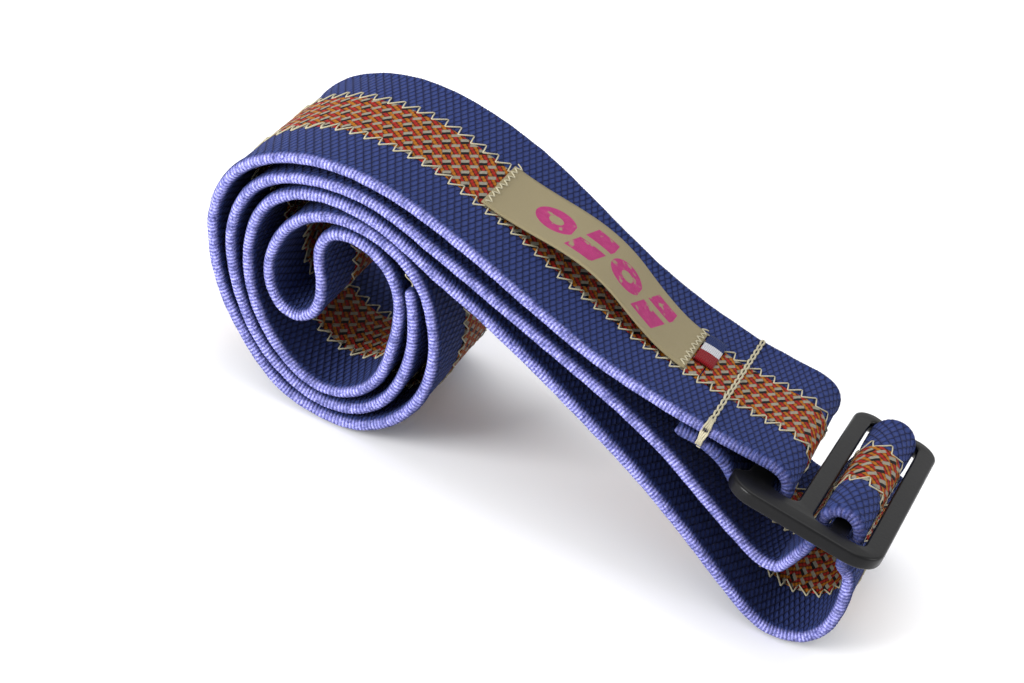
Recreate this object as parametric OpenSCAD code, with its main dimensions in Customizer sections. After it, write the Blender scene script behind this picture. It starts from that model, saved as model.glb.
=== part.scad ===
// Rolled stretch belt with a flat hook buckle, standing on its edgewise roll.
// +X runs from the roll to the buckle, +Y is across the webbing (away from the
// front edge) and +Z is up. All lengths are in millimetres.

/* [Webbing] */
// Width of the elastic webbing
web_w = 38; // [36:0.5:38.5]
// Thickness of the webbing at its rounded edges
web_t = 1.9; // [1.5:0.1:1.9]
// Thickness of the webbing between the two ribbons
core_t = 1.2; // [0.8:0.1:1.3]

/* [Ribbon and seams] */
// Width of the patterned ribbon on each face
ribbon_w = 13.4; // [10:0.2:15]
// Thickness of each ribbon
ribbon_t = 0.3; // [0.2:0.05:0.35]
// Width of the zigzag seam outside the ribbon edge
seam_w = 1.2; // [0.8:0.1:1.6]

/* [Buckle] */
// Thickness of the buckle plate
plate_t = 2.2; // [1.8:0.1:2.4]
// Width of the bar between the hook throat and the window
centre_bar = 3; // [2.4:0.1:3.4]
// Width of each webbing slot
slot_w = 2.9; // [2.6:0.1:3]
// Width of the adjuster bar that the webbing passes over
mid_bar = 2.8; // [2.4:0.1:2.8]
// Width of the outer bar
outer_bar = 3.2; // [2.6:0.1:3.4]
// Length of the hook arm beyond its axis origin
arm_len = 41.5; // [39:0.5:42]

/* [Label] */
// Length of strap that the label spans
label_span = 38.5; // [30:0.5:38.5]
// Width of the label
label_w = 14.6; // [12:0.2:15]
// Height of the label's arch over the ribbon
label_rise = 3.3; // [0:0.1:7]

/* [Hidden] */

steps = 2;                      // samples between two route points
eps = 0.01;
half_w = web_w / 2;
half_t = web_t / 2;
half_core = core_t / 2;
ribbon_edge = ribbon_w / 2;
recess_edge = ribbon_edge + seam_w;
joint_gap = 0.1;                // half the gap between two lengths of webbing
lay_gap = 0.08;                 // gap under ribbon and seam where the webbing twists
run_gap = 0.3;                  // gap between a run and the bridge
label_t = 0.35;                 // thickness of the label and of the tag
trim_n = half_t + 0.05;         // where trim sits above the webbing's middle

// The whole belt is drawn with the front webbing edge on y = 0 and the roll's
// lowest point under x = 2, then moved so that the origin is the middle of the
// footprint at ground level.
belt_shift = [-32.94, -18.39, 0.35];

// ---- Routes of the webbing's centreline ----
// Each list starts and ends with a guide point that only sets the direction.
// Points are [x, z] on the flat rolled stretches, in the webbing's own order
// from the hook loop to the free end.
coil_route = [
    [14, 39.1], [9, 40.5], [4.5, 41.5], [0, 42.1], [-4.5, 42.3],
    [-9, 41.9], [-13.3, 40.8], [-17.2, 39], [-20.5, 36.5], [-22.9, 33.2],
    [-24.1, 29.3], [-24.2, 25.3], [-23.2, 21.4], [-21.6, 17.4], [-19.3, 13.6],
    [-16.4, 10.1], [-13, 6.8], [-9.2, 3.8], [-5.2, 1.7], [-1, 0.81], [3.3, 0.6],
    [7.5, 1.4], [11.1, 3.6], [13.7, 6.6], [15.4, 10.1], [16.1, 14], [15.9, 18],
    [14.9, 21.9], [13.3, 25.5], [11.2, 28.7], [8.2, 31.3], [4.7, 33.1],
    [0.9, 34.1], [-3, 34.3], [-6.8, 33.5], [-10, 31.6], [-12.3, 28.6],
    [-13.4, 25], [-13.4, 21.3], [-12, 17.9], [-9.5, 15.6], [-6.6, 15.3],
    [-4.6, 17], [-4.1, 19.8], [-4.7, 22.8], [-5.8, 25.5], [-6.3, 28.2],
    [-5.5, 30.6], [-3.2, 31.9], [-0.3, 31.9], [2.5, 31.1], [5, 29.5],
    [7, 27.2], [8.3, 24.3], [8.9, 21], [9.1, 17.5], [9, 14], [8.3, 10.8],
    [6.7, 8.1], [4.2, 6.1], [1.2, 5.1], [-2, 5.3], [-5.5, 6.6], [-9, 8.9],
    [-12.2, 12], [-14.8, 15.6], [-16.6, 19.7], [-17.5, 24], [-17.3, 28.3],
    [-15.8, 31.9], [-12.8, 34.6], [-9, 36.2], [-5, 36.7], [-1, 36.5],
    [3, 35.7], [7, 34.4], [10.5, 33], [14, 31.7], [20, 29.7], [26, 27.3],
    [32, 24.8], [38, 22.1], [44, 19.3], [50, 16.4]
];
tail_route = [
    [20, 33.3], [14, 35.2], [10, 36.4], [6, 37.7], [2, 38.7], [-2, 39.2],
    [-6, 39.1], [-10, 38.4], [-13.8, 37.1], [-17, 35.1], [-19.4, 32.2],
    [-20.6, 28.6], [-20.8, 24.8], [-20, 21.1], [-18.5, 17.4], [-16.3, 13.6],
    [-13.6, 10.1], [-10.5, 7.2], [-7, 5], [-3.2, 3.4], [1, 2.8], [5, 3.4],
    [8.3, 5.3], [10.6, 8.3], [11.8, 11.9], [12.2, 15.7], [11.9, 19.5],
    [11, 23.2], [9.7, 26.5], [8.9, 28.2], [8.2, 29.5]
];

// Points are [x, y, z, lean, turn] on the stretches that twist: y is the front
// edge, lean lowers the rear edge and turn swings the rear edge towards +X,
// both in degrees.
top_route = [
    [51, 0.1, 26.3, -6, 0], [54, 0.1, 26.1, -6, 0], [57.5, 0.1, 25.9, -6, 0],
    [60.3, 0.1, 25.2, -6, 0], [62.6, 0.1, 24.1, -6, 0], [64.6, 0.1, 22.4, -6, 0],
    [66.6, 0.1, 20.7, -6, 0], [69, 0.1, 20.1, -6, 0], [71.2, 0.1, 20.9, -6, 0],
    [72.5, 0.1, 22.8, -6, 0], [72.5, 0.1, 25, -6, 0], [71.2, 0.1, 26.6, -6, 0],
    [69, 0.1, 27.3, -6, 0], [66, 0.1, 27.5, -6, 0], [62, 0.1, 27.8, -6, 0],
    [57.5, 0.1, 28.2, -6, 0], [53, 0.1, 28.7, -5.5, 0], [48, 0.1, 29.4, -5, 0],
    [43, 0, 30.3, -4.2, 0], [38, 0, 31.4, -3.4, 0], [33, 0, 32.9, -2.6, 0],
    [28, 0, 34.5, -1.8, 0], [23, 0, 36.2, -1, 0], [18, 0, 37.9, -0.4, 0],
    [14, 0, 39.1, 0, 0], [9, 0, 40.5, 0, 0], [4.5, 0, 41.5, 0, 0]
];
upper_lead_route = [
    [50, 0, 23.3, -5, 0], [44, 0, 25.6, -4.3, 0], [38, 0, 27.6, -3.2, 0],
    [32, 0, 29.5, -2.2, 0], [26, 0, 31.4, -1.3, 0], [20, 0, 33.3, -0.5, 0],
    [14, 0, 35.2, 0, 0], [9, 0, 36.8, 0, 0]
];
upper_run_route = [
    [75.2, 0, 11.4, -6, 2.2], [72.4, 0, 11.7, -6, 1.8], [69, 0, 13.3, -6, 1.4],
    [65, 0, 15.4, -6, 1], [60, 0, 18.2, -6, 0.6], [55, 0, 21, -5.6, 0.3],
    [50, 0, 23.3, -5, 0], [44, 0, 25.6, -4.3, 0], [38, 0, 27.6, -3.2, 0]
];
lower_run_route = [
    [38, 0, 22.1, 0, 0], [44, 0, 19.3, 0, 0], [50, 0, 16.4, 0, 0],
    [56, 0, 13.1, 0, 0], [62, 0, 9.5, 0, 0], [67, 0, 6.3, 0, 0],
    [71, 0, 3.8, 0, 0], [74.5, 0, 1.8, 0, 0], [78, 0, 0.6, 0, 0],
    [81.4, 0, 0.92, 0, 0], [84.3, 0, 2.3, 0, 0], [86.2, 0, 5.1, -0.5, 0.3],
    [86.8, 0, 8.5, -1.5, 0.9], [86.7, 0, 12, -3, 1.7], [86, 0, 15.2, -4.8, 2.4]
];

// ---- Pose of the buckle ----
// The hook arm's axis passes through this point at the front of the loop.
arm_origin = [68.4, 2, 23.6];
buckle_turn = [-6, 4.4, -3];    // lean, tilt and swing of the plate, degrees

// ---- Buckle outline, u across the arm and v along it ----
near_v = -7.7;                  // front edge of the frame
far_v = 38.2;                   // rear edge of the frame
throat_v = -2.6;                // front end of the throat
arm_half = 2;                   // half width of the arm at its root
tip_left = -1.7;                // the arm narrows towards its tip
tip_right = 0.8;
spine_left = -4;                // left end of the front spine
throat_right = 6.4;             // left edge of the centre bar
window_left = throat_right + centre_bar;
bar_left = window_left + slot_w;
bar_right = bar_left + mid_bar;
window_right = bar_right + slot_w;
frame_right = window_right + outer_bar;
window_near = -4.2;
window_far = 36.2;
bridge_near = -2.2;             // front edge of the webbing in the window
bridge_mid = (bar_left + bar_right) / 2;
bridge_r = mid_bar / 2 + 1.45;  // bend of the webbing over the adjuster bar
bridge_z = 0.1;                 // height of that bend's centre
inner_u = bridge_mid - bridge_r;
outer_u = bridge_mid + bridge_r;
bridge_drop = -4.5;             // where the bridge meets the two runs
bridge_mid_v = bridge_near + half_w;

// ---- Colours ----
blue = [0.22, 0.31, 0.55];
orange = [0.78, 0.42, 0.22];
cream = [0.84, 0.82, 0.72];
beige = [0.70, 0.68, 0.58];
black = [0.15, 0.15, 0.15];
red = [0.55, 0.08, 0.14];

// ---- Curves ----
function spline(a, b, c, d, t) =
    b + 0.5 * t * ((c - a) + t * (2 * a - 5 * b + 4 * c - d + t * (3 * (b - c) + d - a)));
function smooth(p) = concat(
    [for (i = [1 : len(p) - 3], j = [0 : steps - 1])
        spline(p[i - 1], p[i], p[i + 1], p[i + 2], j / steps)],
    [p[len(p) - 2]]);
function last(p) = len(p) - 1;
function unit(v) = v / norm(v);
function reversed(p) = [for (i = [last(p) : -1 : 0]) p[i]];
function part_of(p, a, b) = [for (i = [a : b]) p[i]];
// Pull both ends of a path back by the joint gap.
function pulled(p, i, j) = p[i] + (p[j] - p[i]) * joint_gap / norm(p[j] - p[i]);
function eased(p) = concat([pulled(p, 0, 1)], part_of(p, 1, last(p) - 1),
    [pulled(p, last(p), last(p) - 1)]);
function between(p, k) = let (i = floor(k)) p[i] + (p[i + 1] - p[i]) * (k - i);

// Flat stretches. The face side of the webbing is on the right of its direction
// of travel. A cut end lies in an upright plane across the belt.
function flat_dir(p, i) = unit(p[min(i + 1, last(p))] - p[max(i - 1, 0)]);
function is_cut(p, i, cuts) = (i == 0 && cuts[0]) || (i == last(p) && cuts[1]);
function side(p, n, cuts) = [for (i = [0 : last(p)]) let (d = flat_dir(p, i))
    p[i] + n * (is_cut(p, i, cuts) ? [0, -1 / d[0]] : [d[1], -d[0]])];
module strip(path, n0, n1, y0, y1, mid, cuts) {
    translate([0, mid + y1, 0]) rotate([90, 0, 0]) linear_extrude(y1 - y0)
        polygon(concat(side(path, n0, cuts), reversed(side(path, n1, cuts))));
}
module webbing(path, mid, cuts) {
    strip(path, -half_t, half_t, -half_w, -recess_edge, mid, cuts);
    strip(path, -half_core, half_core, -recess_edge - eps, recess_edge + eps, mid, cuts);
    strip(path, -half_t, half_t, recess_edge, half_w, mid, cuts);
}
module ribbon(path, face, mid, cuts) {
    n = face > 0 ? half_core : -half_core - ribbon_t;
    strip(path, n, n + ribbon_t, -ribbon_edge, ribbon_edge, mid, cuts);
}
module seams(path, mid, cuts) {
    for (y = [-recess_edge, ribbon_edge], n = [half_core, -half_t])
        strip(path, n, n + half_t - half_core, y, y + seam_w, mid, cuts);
}

// Twisted stretches: rings of [y, n] points carried along a
// [x, y, z, lean, turn] path.
function place_of(q) = [q[0], q[1], q[2]];
function heading(p, i) = unit(place_of(p[min(i + 1, last(p))] - p[max(i - 1, 0)]));
function across(q) = unit([sin(q[4]), cos(q[4]) * cos(q[3]), sin(q[3])]);
function face_dir(p, i) = unit(cross(across(p[i]), heading(p, i)));
function upright(p, i) = unit(cross(across(p[i]), [sign(heading(p, i)[0]), 0, 0]));
function ring_dir(p, i, cuts) = is_cut(p, i, cuts) ?
    upright(p, i) / (upright(p, i) * face_dir(p, i)) : face_dir(p, i);
function ring(p, i, section, cuts) =
    let (w = across(p[i]), n = ring_dir(p, i, cuts), c = place_of(p[i]))
    [for (s = section) c + (half_w + s[0]) * w + s[1] * n];
function tube_faces(count, m) = concat(
    [[for (j = [0 : m - 1]) j]],
    [for (i = [0 : count - 2], j = [0 : m - 1]) let (a = i * m, k = (j + 1) % m)
        each [[a + j, a + m + j, a + m + k], [a + j, a + m + k, a + k]]],
    [[for (j = [m - 1 : -1 : 0]) (count - 1) * m + j]]);
module twisted(path, section, cuts = [false, false]) {
    polyhedron([for (i = [0 : last(path)]) each ring(path, i, section, cuts)],
        tube_faces(len(path), len(section)), convexity = 8);
}
function box_section(y0, y1, n0, n1) = [[y0, n0], [y0, n1], [y1, n1], [y1, n0]];
webbing_section = [
    [-half_w, -half_t], [-half_w, half_t],
    [-recess_edge, half_t], [-recess_edge, half_core],
    [recess_edge, half_core], [recess_edge, half_t],
    [half_w, half_t], [half_w, -half_t],
    [recess_edge, -half_t], [recess_edge, -half_core],
    [-recess_edge, -half_core], [-recess_edge, -half_t]
];
module twisted_ribbon(path, face, cuts) {
    n = face > 0 ? half_core + lay_gap : -half_core - ribbon_t;
    twisted(path, box_section(0.02 - ribbon_edge, ribbon_edge - 0.02, n, n + ribbon_t - lay_gap), cuts);
}
module twisted_seams(path, cuts) {
    for (y = [-recess_edge, ribbon_edge], n = [half_core + lay_gap, -half_t])
        twisted(path, box_section(y + 0.02, y + seam_w - 0.02, n, n + half_t - half_core - lay_gap), cuts);
}

// Where the two runs meet the bridge under the buckle.
function rot_x(p, a) = [p[0], p[1] * cos(a) - p[2] * sin(a), p[1] * sin(a) + p[2] * cos(a)];
function rot_y(p, a) = [p[0] * cos(a) + p[2] * sin(a), p[1], -p[0] * sin(a) + p[2] * cos(a)];
function rot_z(p, a) = [p[0] * cos(a) - p[1] * sin(a), p[0] * sin(a) + p[1] * cos(a), p[2]];
function turned(p) = rot_z(rot_y(rot_x(p, buckle_turn[0]), buckle_turn[1]), buckle_turn[2]);
plate_v = turned([0, 1, 0]);
function run_end(u, h) = concat(arm_origin + turned([u, bridge_near, h]),
    [asin(plate_v[2]), asin(plate_v[0])]);

// ---- Sampled paths ----
both = [true, true];
coil_path = eased(smooth(coil_route));
tail_path = eased(smooth(tail_route));
top_path = eased(smooth(top_route));
upper_lead_path = eased(smooth(upper_lead_route));
upper_run_path = eased(smooth(concat(
    [run_end(inner_u, bridge_drop + 3), run_end(inner_u, bridge_drop - run_gap),
     run_end(inner_u, bridge_drop - 3) + [-0.2, 0, 0, 0, 0],
     [76.6, 0, 12.5, -6, 2.4]],
    upper_run_route)));
lower_run_path = eased(smooth(concat(lower_run_route,
    [run_end(outer_u, bridge_drop - 1.3) + [0.12, 0, 0, 0, 0],
     run_end(outer_u, bridge_drop - run_gap), run_end(outer_u, bridge_drop + 3)])));
loop_end = 30;                  // the second ribbon piece ends at this sample
loop_path = eased(part_of(top_path, 0, loop_end));
top_ribbon_path = eased(part_of(top_path, loop_end, last(top_path)));

// The bridge rises through one slot, bends over the adjuster bar and goes down
// the other, from the outer slot to the inner one.
bridge_path = concat(
    [[outer_u, bridge_drop]],
    [for (a = [0 : 12 : 180]) [bridge_mid + bridge_r * cos(a), bridge_z + bridge_r * sin(a)]],
    [[inner_u, bridge_drop]]);

module in_place() { translate(belt_shift) children(); }
module at_buckle() { translate(arm_origin) rotate(buckle_turn) children(); }

// ---- Webbing ----
module webbing_coil() { color(blue) in_place() webbing(coil_path, half_w, both); }
module webbing_tail() { color(blue) in_place() webbing(tail_path, half_w, [true, false]); }
module webbing_top_run() { color(blue) in_place() twisted(top_path, webbing_section, both); }
module webbing_upper_lead() {
    color(blue) in_place() twisted(upper_lead_path, webbing_section, both);
}
module webbing_upper_run() {
    color(blue) in_place() twisted(upper_run_path, webbing_section, [false, true]);
}
module webbing_lower_run() {
    color(blue) in_place() twisted(lower_run_path, webbing_section, [true, false]);
}
module webbing_bridge() {
    color(blue) in_place() at_buckle() webbing(bridge_path, bridge_mid_v, [false, false]);
}

// ---- Patterned ribbon on the face side ----
module face_ribbon_coil() { color(orange) in_place() ribbon(coil_path, 1, half_w, both); }
module face_ribbon_tail() {
    color(orange) in_place() ribbon(tail_path, 1, half_w, [true, false]);
}
module face_ribbon_loop() { color(orange) in_place() twisted_ribbon(loop_path, 1, both); }
module face_ribbon_top_run() {
    color(orange) in_place() twisted_ribbon(top_ribbon_path, 1, both);
}
module face_ribbon_upper_lead() {
    color(orange) in_place() twisted_ribbon(upper_lead_path, 1, both);
}
module face_ribbon_upper_run() {
    color(orange) in_place() twisted_ribbon(upper_run_path, 1, [false, true]);
}
module face_ribbon_lower_run() {
    color(orange) in_place() twisted_ribbon(lower_run_path, 1, [true, false]);
}
module face_ribbon_bridge() {
    color(orange) in_place() at_buckle() ribbon(bridge_path, 1, bridge_mid_v, [false, false]);
}

// ---- Patterned ribbon on the back side ----
module back_ribbon_coil() { color(orange) in_place() ribbon(coil_path, -1, half_w, both); }
module back_ribbon_tail() {
    color(orange) in_place() ribbon(tail_path, -1, half_w, [true, false]);
}
module back_ribbon_top_run() { color(orange) in_place() twisted_ribbon(top_path, -1, both); }
module back_ribbon_upper_lead() {
    color(orange) in_place() twisted_ribbon(upper_lead_path, -1, both);
}
module back_ribbon_upper_run() {
    color(orange) in_place() twisted_ribbon(upper_run_path, -1, [false, true]);
}
module back_ribbon_lower_run() {
    color(orange) in_place() twisted_ribbon(lower_run_path, -1, [true, false]);
}
module back_ribbon_bridge() {
    color(orange) in_place() at_buckle() ribbon(bridge_path, -1, bridge_mid_v, [false, false]);
}

// ---- Zigzag seams beside the ribbons ----
module seams_coil() { color(cream) in_place() seams(coil_path, half_w, both); }
module seams_tail() { color(cream) in_place() seams(tail_path, half_w, [true, false]); }
module seams_top_run() { color(cream) in_place() twisted_seams(top_path, both); }
module seams_upper_lead() { color(cream) in_place() twisted_seams(upper_lead_path, both); }
module seams_upper_run() { color(cream) in_place() twisted_seams(upper_run_path, [false, true]); }
module seams_lower_run() { color(cream) in_place() twisted_seams(lower_run_path, [true, false]); }
module seams_bridge() {
    color(cream) in_place() at_buckle() seams(bridge_path, bridge_mid_v, [false, false]);
}

// ---- Chain stitch that closes the hook loop ----
stitch_t = 0.35;
module loop_stitch() {
    color(cream) in_place() for (k = [[2.15, 2.75], [27.3, 27.85]])
        twisted([between(top_path, k[0]), between(top_path, k[1])],
            box_section(-17, 17, trim_n, trim_n + stitch_t));
}

// ---- Label, held only at its two ends ----
label_from = 31;                // sample of the top run at the label's right end
label_step = 15.8 / 38.5;       // samples per millimetre of strap
label_to = label_from + label_step * label_span;
label_mid = 0.5;                // the label sits this far behind the centre
function label_point(t) =
    let (k = label_from + (label_to - label_from) * t, i = floor(k),
         n = trim_n + label_rise * (1 - cos(360 * t)) / 2,
         f = face_dir(top_path, i + (k - i > 0.5 ? 1 : 0)))
    between(top_path, k) + [n * f[0], n * f[1], n * f[2], 0, 0];
label_path = [for (i = [0 : 20]) label_point(i / 20)];
module label() {
    color(beige) in_place()
        twisted(label_path, box_section(label_mid - label_w / 2, label_mid + label_w / 2, 0, label_t));
}
module label_stitches() {
    color(cream) in_place() for (k = [label_from + 0.12, label_to - 0.38], i = [-2 : 2])
        twisted([between(top_path, k), between(top_path, k + 0.26)],
            box_section(label_mid + i * 2.8 - 0.9, label_mid + i * 2.8 + 0.9,
                trim_n + label_t + 0.2, trim_n + label_t + 0.4));
}

// ---- Striped tag beside the label ----
module striped_tag() {
    color(red) in_place()
        twisted([between(top_path, 29.6), between(top_path, 30), between(top_path, 30.9)],
            box_section(-2, 8, trim_n, trim_n + label_t));
}

// ---- Hook buckle, cut from one plate ----
function arc(u, v, r, a) = [for (i = [0 : 6]) [u + r * cos(a + 15 * i), v + r * sin(a + 15 * i)]];
module rounded(u0, u1, v0, v1, r) {
    polygon(concat(
        arc(u0 + r[0], v0 + r[0], r[0], 180), arc(u1 - r[1], v0 + r[1], r[1], 270),
        arc(u1 - r[2], v1 - r[2], r[2], 0), arc(u0 + r[3], v1 - r[3], r[3], 90)));
}
frame_outline = concat(
    arc(spine_left + 4.6, near_v + 4.6, 4.6, 180),
    arc(frame_right - 5, near_v + 5, 5, 270),
    arc(frame_right - 3.8, far_v - 3.8, 3.8, 0),
    [for (t = [0.1 : 0.1 : 0.9])
        [frame_right - 3.8 - t * (frame_right - throat_right - 7), far_v - 0.5 * sin(180 * t)]],
    arc(throat_right + 3.2, far_v - 3.2, 3.2, 90),
    [for (i = [0 : 6])
        [throat_right - 1.5 + 1.5 * cos(15 * i), throat_v + 1.5 - 1.5 * sin(15 * i)]],
    [for (i = [0 : 6])
        [arm_half + 1.5 - 1.5 * sin(15 * i), throat_v + 1.5 - 1.5 * cos(15 * i)]],
    [[tip_right, arm_len - 1.2], [tip_right - 0.35, arm_len - 0.35], [tip_right - 1.0, arm_len],
     [tip_left + 1.0, arm_len], [tip_left + 0.35, arm_len - 0.35], [tip_left, arm_len - 1.2]],
    [[-arm_half, throat_v + 2.2], [-arm_half - 0.4, throat_v + 0.9], [-arm_half - 1.3, throat_v + 0.1]]);
module hook_buckle() {
    color(black) in_place() at_buckle() translate([0, 0, -plate_t / 2])
        linear_extrude(plate_t) difference() {
            polygon(frame_outline);
            rounded(window_left, bar_left, window_near, window_far, [1.4, 0.7, 0.7, 1.4]);
            rounded(bar_right, window_right, window_near, window_far, [0.7, 1.4, 1.4, 0.7]);
        }
}

webbing_coil();
webbing_tail();
webbing_top_run();
webbing_upper_lead();
webbing_upper_run();
webbing_lower_run();
webbing_bridge();
face_ribbon_coil();
face_ribbon_tail();
face_ribbon_loop();
face_ribbon_top_run();
face_ribbon_upper_lead();
face_ribbon_upper_run();
face_ribbon_lower_run();
face_ribbon_bridge();
back_ribbon_coil();
back_ribbon_tail();
back_ribbon_top_run();
back_ribbon_upper_lead();
back_ribbon_upper_run();
back_ribbon_lower_run();
back_ribbon_bridge();
seams_coil();
seams_tail();
seams_top_run();
seams_upper_lead();
seams_upper_run();
seams_lower_run();
seams_bridge();
loop_stitch();
label();
label_stitches();
striped_tag();
hook_buckle();
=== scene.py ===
import math

import bmesh
import bpy
import numpy as np
from mathutils import Euler, Matrix, Vector


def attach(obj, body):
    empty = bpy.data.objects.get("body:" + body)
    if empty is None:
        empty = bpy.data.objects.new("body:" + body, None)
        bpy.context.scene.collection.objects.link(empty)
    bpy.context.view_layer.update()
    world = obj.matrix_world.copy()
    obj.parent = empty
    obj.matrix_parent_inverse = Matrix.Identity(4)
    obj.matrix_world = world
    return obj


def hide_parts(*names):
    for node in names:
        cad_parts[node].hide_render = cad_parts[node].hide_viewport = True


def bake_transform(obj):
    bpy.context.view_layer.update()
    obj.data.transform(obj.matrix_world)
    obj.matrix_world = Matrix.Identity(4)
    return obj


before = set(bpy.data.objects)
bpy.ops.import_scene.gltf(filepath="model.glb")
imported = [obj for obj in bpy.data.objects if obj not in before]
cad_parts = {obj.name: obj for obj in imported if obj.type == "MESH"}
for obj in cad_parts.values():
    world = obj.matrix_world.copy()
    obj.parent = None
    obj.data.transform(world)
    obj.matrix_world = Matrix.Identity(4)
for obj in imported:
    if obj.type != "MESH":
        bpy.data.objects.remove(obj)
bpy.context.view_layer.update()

MM = 0.001
WEB_W = 38           # width of the webbing, mm
HALF_W = WEB_W / 2
ROLL_V = 17.5        # middle of each rolled rim, across the belt, mm
SHIFT = np.array([-32.94, -18.39, 0.35])   # the belt's drawing frame to the row frame, mm
scene = bpy.context.scene


def row(p):
    """A point of the drawing frame, in metres in the row frame."""
    return tuple((np.array(p, float) + SHIFT) * MM)


# ---- Camera ----
camera_data = bpy.data.cameras.new("camera")
camera_data.lens = 80.86
camera_data.sensor_width = 36
camera_data.clip_start = 0.01
camera = bpy.data.objects.new("camera", camera_data)
scene.collection.objects.link(camera)
c_right = Vector((0.8933, 0.3489, 0.2833)).normalized()
c_back = Vector((0.1601, -0.8359, 0.5249)).normalized()
c_up = c_back.cross(c_right).normalized()
c_right = c_up.cross(c_back)
camera.matrix_world = (Matrix.Translation(row((81.456, -286.521, 208.008)))
                       @ Matrix((c_right, c_up, c_back)).transposed().to_4x4())
scene.camera = camera

# ---- Routes, as in part.scad, in mm ----
COIL = [
    [14, 39.1], [9, 40.5], [4.5, 41.5], [0, 42.1], [-4.5, 42.3],
    [-9, 41.9], [-13.3, 40.8], [-17.2, 39], [-20.5, 36.5], [-22.9, 33.2],
    [-24.1, 29.3], [-24.2, 25.3], [-23.2, 21.4], [-21.6, 17.4], [-19.3, 13.6],
    [-16.4, 10.1], [-13, 6.8], [-9.2, 3.8], [-5.2, 1.7], [-1, 0.81], [3.3, 0.6],
    [7.5, 1.4], [11.1, 3.6], [13.7, 6.6], [15.4, 10.1], [16.1, 14], [15.9, 18],
    [14.9, 21.9], [13.3, 25.5], [11.2, 28.7], [8.2, 31.3], [4.7, 33.1],
    [0.9, 34.1], [-3, 34.3], [-6.8, 33.5], [-10, 31.6], [-12.3, 28.6],
    [-13.4, 25], [-13.4, 21.3], [-12, 17.9], [-9.5, 15.6], [-6.6, 15.3],
    [-4.6, 17], [-4.1, 19.8], [-4.7, 22.8], [-5.8, 25.5], [-6.3, 28.2],
    [-5.5, 30.6], [-3.2, 31.9], [-0.3, 31.9], [2.5, 31.1], [5, 29.5],
    [7, 27.2], [8.3, 24.3], [8.9, 21], [9.1, 17.5], [9, 14], [8.3, 10.8],
    [6.7, 8.1], [4.2, 6.1], [1.2, 5.1], [-2, 5.3], [-5.5, 6.6], [-9, 8.9],
    [-12.2, 12], [-14.8, 15.6], [-16.6, 19.7], [-17.5, 24], [-17.3, 28.3],
    [-15.8, 31.9], [-12.8, 34.6], [-9, 36.2], [-5, 36.7], [-1, 36.5],
    [3, 35.7], [7, 34.4], [10.5, 33], [14, 31.7], [20, 29.7], [26, 27.3],
    [32, 24.8], [38, 22.1]]
TAIL = [
    [14, 35.2], [10, 36.4], [6, 37.7], [2, 38.7], [-2, 39.2],
    [-6, 39.1], [-10, 38.4], [-13.8, 37.1], [-17, 35.1], [-19.4, 32.2],
    [-20.6, 28.6], [-20.8, 24.8], [-20, 21.1], [-18.5, 17.4], [-16.3, 13.6],
    [-13.6, 10.1], [-10.5, 7.2], [-7, 5], [-3.2, 3.4], [1, 2.8], [5, 3.4],
    [8.3, 5.3], [10.6, 8.3], [11.8, 11.9], [12.2, 15.7], [11.9, 19.5],
    [11, 23.2], [9.7, 26.5], [8.9, 28.2], [8.2, 29.5]]
TOP = [
    [51, 0.1, 26.3, -6, 0], [54, 0.1, 26.1, -6, 0], [57.5, 0.1, 25.9, -6, 0],
    [60.3, 0.1, 25.2, -6, 0], [62.6, 0.1, 24.1, -6, 0], [64.6, 0.1, 22.4, -6, 0],
    [66.6, 0.1, 20.7, -6, 0], [69, 0.1, 20.1, -6, 0], [71.2, 0.1, 20.9, -6, 0],
    [72.5, 0.1, 22.8, -6, 0], [72.5, 0.1, 25, -6, 0], [71.2, 0.1, 26.6, -6, 0],
    [69, 0.1, 27.3, -6, 0], [66, 0.1, 27.5, -6, 0], [62, 0.1, 27.8, -6, 0],
    [57.5, 0.1, 28.2, -6, 0], [53, 0.1, 28.7, -5.5, 0], [48, 0.1, 29.4, -5, 0],
    [43, 0, 30.3, -4.2, 0], [38, 0, 31.4, -3.4, 0], [33, 0, 32.9, -2.6, 0],
    [28, 0, 34.5, -1.8, 0], [23, 0, 36.2, -1, 0], [18, 0, 37.9, -0.4, 0]]
UPPER = [   # from the inner slot down and back to the roll
    [75.2, 0, 11.4, -6, 2.2], [72.4, 0, 11.7, -6, 1.8], [69, 0, 13.3, -6, 1.4],
    [65, 0, 15.4, -6, 1], [60, 0, 18.2, -6, 0.6], [55, 0, 21, -5.6, 0.3],
    [50, 0, 23.3, -5, 0], [44, 0, 25.6, -4.3, 0], [38, 0, 27.6, -3.2, 0],
    [32, 0, 29.5, -2.2, 0], [26, 0, 31.4, -1.3, 0], [20, 0, 33.3, -0.5, 0]]
LOWER = [   # from the roll to the outer slot
    [44, 0, 19.3, 0, 0], [50, 0, 16.4, 0, 0],
    [56, 0, 13.1, 0, 0], [62, 0, 9.5, 0, 0], [67, 0, 6.3, 0, 0],
    [71, 0, 3.8, 0, 0], [74.5, 0, 1.8, 0, 0], [78, 0, 0.6, 0, 0],
    [81.4, 0, 0.92, 0, 0], [84.3, 0, 2.3, 0, 0], [86.2, 0, 5.1, -0.5, 0.3],
    [86.8, 0, 8.5, -1.5, 0.9], [86.7, 0, 12, -3, 1.7], [86, 0, 15.2, -4.8, 2.4]]

# Buckle pose and outline, as in part.scad
ARM = np.array([68.4, 2, 23.6])
TURN = np.array(Euler([math.radians(a) for a in (-6, 4.4, -3)], "XYZ").to_matrix())
U_AXIS, V_AXIS, N_AXIS = TURN[:, 0], TURN[:, 1], TURN[:, 2]
LEAN = math.degrees(math.asin(V_AXIS[2]))
SWING = math.degrees(math.asin(V_AXIS[0]))
BRIDGE_NEAR, BRIDGE_MID, BRIDGE_R, BRIDGE_Z = -2.2, 13.7, 2.85, 0.1


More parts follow.
